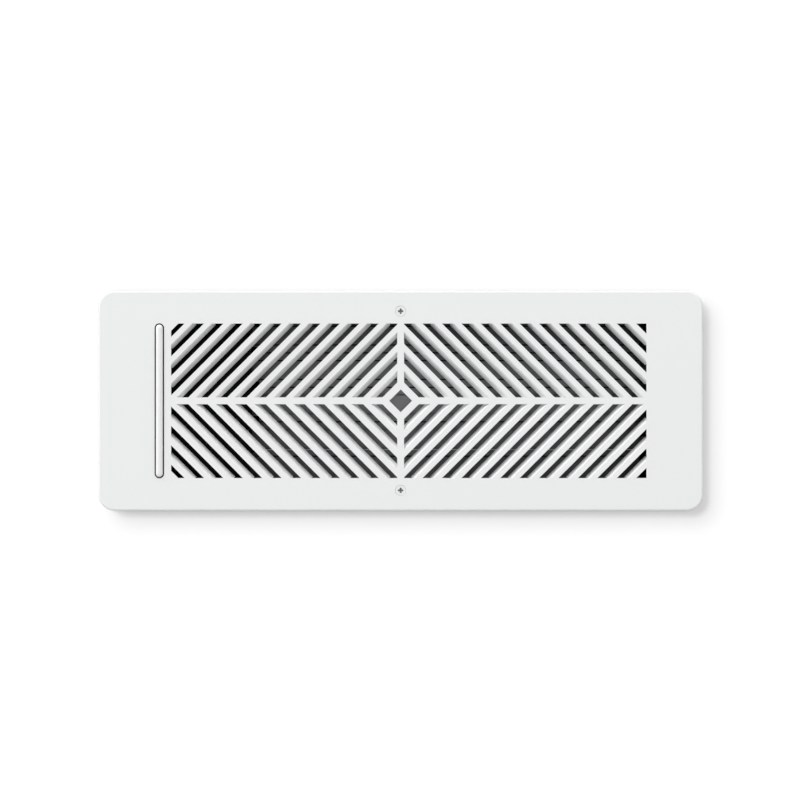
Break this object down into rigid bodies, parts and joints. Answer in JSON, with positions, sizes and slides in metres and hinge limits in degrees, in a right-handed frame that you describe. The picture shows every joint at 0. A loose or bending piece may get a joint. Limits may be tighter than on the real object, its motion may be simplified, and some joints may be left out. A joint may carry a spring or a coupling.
{
  "type": "motorised air register",
  "caption": "Rectangular floor or wall register with a white diamond-vane faceplate, a light bar, and coupled grey louvre blades that a battery gearmotor opens and closes.",
  "frame": {"origin": "centre of the faceplate, on the plane that the flange and rim seat on", "axes": "+X along the plate away from the light bar, +Y across it, +Z out of the face"},
  "size_m": [0.352, 0.128, 0.0563],
  "materials": {
    "white_paint": "satin powder coat",
    "light_diffuser": "moulded, milky",
    "black_plastic": "moulded, fine spark texture",
    "grey_plastic": "moulded, matt",
    "acetal": "moulded, waxy",
    "plated_steel": "zinc plated",
    "gearbox_brass": "machined",
    "cell_jacket": "film jacket on a steel can",
    "circuit_laminate": "solder mask on glass epoxy",
    "diode_resin": "moulded resin"
  },
  "bodies": {
    "housing": {"faceplate": "white_paint", "faceplate_screws": "white_paint", "light_bar": "light_diffuser", "chassis": "black_plastic", "compartment_cover": "black_plastic", "battery_door": "black_plastic", "bearing_strip": "black_plastic", "motor_connector": "black_plastic", "light_bar_seal": "black_plastic", "blade_sill": "grey_plastic", "cover_screws": "plated_steel", "bearing_strip_screws": "plated_steel", "battery_door_screw": "plated_steel", "board_screws": "plated_steel", "bracket_screws": "plated_steel", "motor_bracket": "plated_steel", "motor": "plated_steel", "radio_module": "plated_steel", "contact_link": "plated_steel", "contact_tabs": "plated_steel", "gearbox": "gearbox_brass", "battery_cell_1": "cell_jacket", "battery_cell_2": "cell_jacket", "capacitor": "cell_jacket", "circuit_board": "circuit_laminate", "led_board": "circuit_laminate", "leds": "diode_resin"},
    "blade_1": {"louver_blade_1": "grey_plastic"},
    "blade_2": {"louver_blade_2": "grey_plastic", "drive_sector": "acetal"},
    "blade_3": {"louver_blade_3": "grey_plastic"},
    "blade_4": {"louver_blade_4": "grey_plastic"},
    "tie_bar": {"tie_bar": "acetal"},
    "pinion": {"pinion": "acetal", "motor_shaft": "plated_steel"}
  },
  "joints": [
    {"name": "louver_2", "type": "hinge", "parent": "housing", "child": "blade_2", "pos_m": [0.0259, 0.01797, -0.01314], "axis": [-1, 0, 0], "range_deg": [0, 90]},
    {"name": "louver_1", "type": "hinge", "parent": "housing", "child": "blade_1", "pos_m": [0.0259, 0.0381, -0.01314], "axis": [-1, 0, 0], "range_deg": [0, 90]},
    {"name": "louver_3", "type": "hinge", "parent": "housing", "child": "blade_3", "pos_m": [0.0259, -0.00216, -0.01314], "axis": [-1, 0, 0], "range_deg": [0, 90]},
    {"name": "louver_4", "type": "hinge", "parent": "housing", "child": "blade_4", "pos_m": [0.0259, -0.02229, -0.01314], "axis": [-1, 0, 0], "range_deg": [0, 90]},
    {"name": "tie_bar_swing", "type": "hinge", "parent": "blade_2", "child": "tie_bar", "pos_m": [0.1414, 0.02247, -0.0185], "axis": [-1, 0, 0], "range_deg": [-90, 0]},
    {"name": "pinion_spin", "type": "hinge", "parent": "housing", "child": "pinion", "pos_m": [-0.0935, 0.0225, -0.03005], "axis": [-1, 0, 0], "range_deg": [-231.5, 0]}
  ],
  "couplings": [
    {"joint": "louver_1", "follows": "louver_2", "ratio": 1},
    {"joint": "louver_3", "follows": "louver_2", "ratio": 1},
    {"joint": "louver_4", "follows": "louver_2", "ratio": 1},
    {"joint": "tie_bar_swing", "follows": "louver_2", "ratio": -1},
    {"joint": "pinion_spin", "follows": "louver_2", "ratio": -2.5714}
  ]
}
